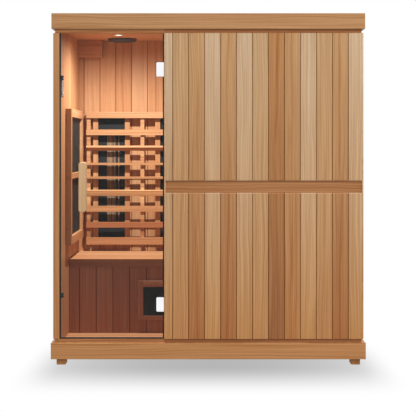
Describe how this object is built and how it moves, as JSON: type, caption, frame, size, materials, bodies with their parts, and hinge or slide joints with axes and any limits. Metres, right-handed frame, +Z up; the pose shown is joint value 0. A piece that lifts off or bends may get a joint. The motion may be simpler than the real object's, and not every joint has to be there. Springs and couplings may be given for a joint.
{
  "type": "infrared sauna cabin",
  "caption": "Free-standing boarded infrared sauna cabin with a frameless swinging glass door, a bench with slatted backrests, and framed carbon heaters on the walls and under the bench.",
  "frame": {"origin": "on the floor under the middle of the bounding box", "axes": "+X to the right seen from the front, +Y from the front to the back, +Z up"},
  "size_m": [1.744, 1.138, 1.95],
  "materials": {
    "outer_wood": "oiled softwood boards, satin",
    "rail_wood": "oiled softwood, darker, satin",
    "inner_wood": "bare planed softwood, warm",
    "plywood": "plain plywood sheet",
    "handle_wood": "smooth sanded pale wood",
    "clear_glass": "clear toughened glass",
    "black_rubber": "black extruded seal, matt",
    "white_metal": "near-white satin metal",
    "carbon": "dark carbon heater film, matt",
    "grey_plastic": "grey plastic, satin",
    "button_plastic": "grey push button, satin",
    "dark_plastic": "dark plastic, matt",
    "lamp_white": "opal lamp with white rim"
  },
  "bodies": {
    "cabin": {"plinth_frame": "outer_wood", "foot_front_left": "outer_wood", "foot_front_right": "outer_wood", "foot_back_left": "outer_wood", "foot_back_right": "outer_wood", "sill_rail": "outer_wood", "head_rail": "outer_wood", "door_jamb": "outer_wood", "front_boards_upper": "outer_wood", "front_boards_lower": "outer_wood", "left_cladding": "outer_wood", "right_cladding": "outer_wood", "back_cladding": "outer_wood", "roof_cornice": "outer_wood", "front_mid_rail": "rail_wood", "floor_deck": "inner_wood", "front_lining": "inner_wood", "left_lining": "inner_wood", "right_lining": "inner_wood", "back_lining": "inner_wood", "ceiling_panel": "inner_wood", "bench_top": "inner_wood", "bench_rail": "inner_wood", "bench_front_panel": "inner_wood", "calf_heater_frame": "inner_wood", "back_heater_frame_1": "inner_wood", "back_heater_frame_2": "inner_wood", "back_heater_frame_3": "inner_wood", "back_heater_frame_4": "inner_wood", "side_heater_frame_left": "inner_wood", "side_heater_frame_right": "inner_wood", "backrest_left": "inner_wood", "backrest_right": "inner_wood", "wiring_box": "inner_wood", "roof_cover": "plywood", "door_catch_upper": "black_rubber", "door_catch_lower": "black_rubber", "hinge_bracket_upper": "white_metal", "hinge_bracket_lower": "white_metal", "calf_heater_panel": "carbon", "back_heater_panel_1": "carbon", "back_heater_panel_2": "carbon", "back_heater_panel_3": "carbon", "back_heater_panel_4": "carbon", "side_heater_panel_left": "carbon", "side_heater_panel_right": "carbon", "keypad_housing": "grey_plastic", "ceiling_speaker": "dark_plastic", "power_unit": "dark_plastic", "downlight": "lamp_white"},
    "door": {"door_glass": "clear_glass", "door_seal": "black_rubber", "hinge_clamp_upper": "white_metal", "hinge_clamp_lower": "white_metal", "handle_outer": "handle_wood", "handle_inner": "handle_wood"},
    "button_power": {"keypad_button_1": "button_plastic"},
    "button_light": {"keypad_button_2": "button_plastic"},
    "button_up": {"keypad_button_3": "button_plastic"},
    "button_down": {"keypad_button_4": "button_plastic"}
  },
  "joints": [
    {"name": "door_swing", "type": "hinge", "parent": "cabin", "child": "door", "pos_m": [-0.264, -0.519, 0.987], "axis": [0, 0, 1], "range_deg": [0, 90]},
    {"name": "power_press", "type": "slide", "parent": "cabin", "child": "button_power", "axis": [-1, 0, 0], "range_m": [0, 0.0012], "stiffness_N_per_m": 400},
    {"name": "light_press", "type": "slide", "parent": "cabin", "child": "button_light", "axis": [-1, 0, 0], "range_m": [0, 0.0012], "stiffness_N_per_m": 400},
    {"name": "up_press", "type": "slide", "parent": "cabin", "child": "button_up", "axis": [-1, 0, 0], "range_m": [0, 0.0012], "stiffness_N_per_m": 400},
    {"name": "down_press", "type": "slide", "parent": "cabin", "child": "button_down", "axis": [-1, 0, 0], "range_m": [0, 0.0012], "stiffness_N_per_m": 400}
  ]
}
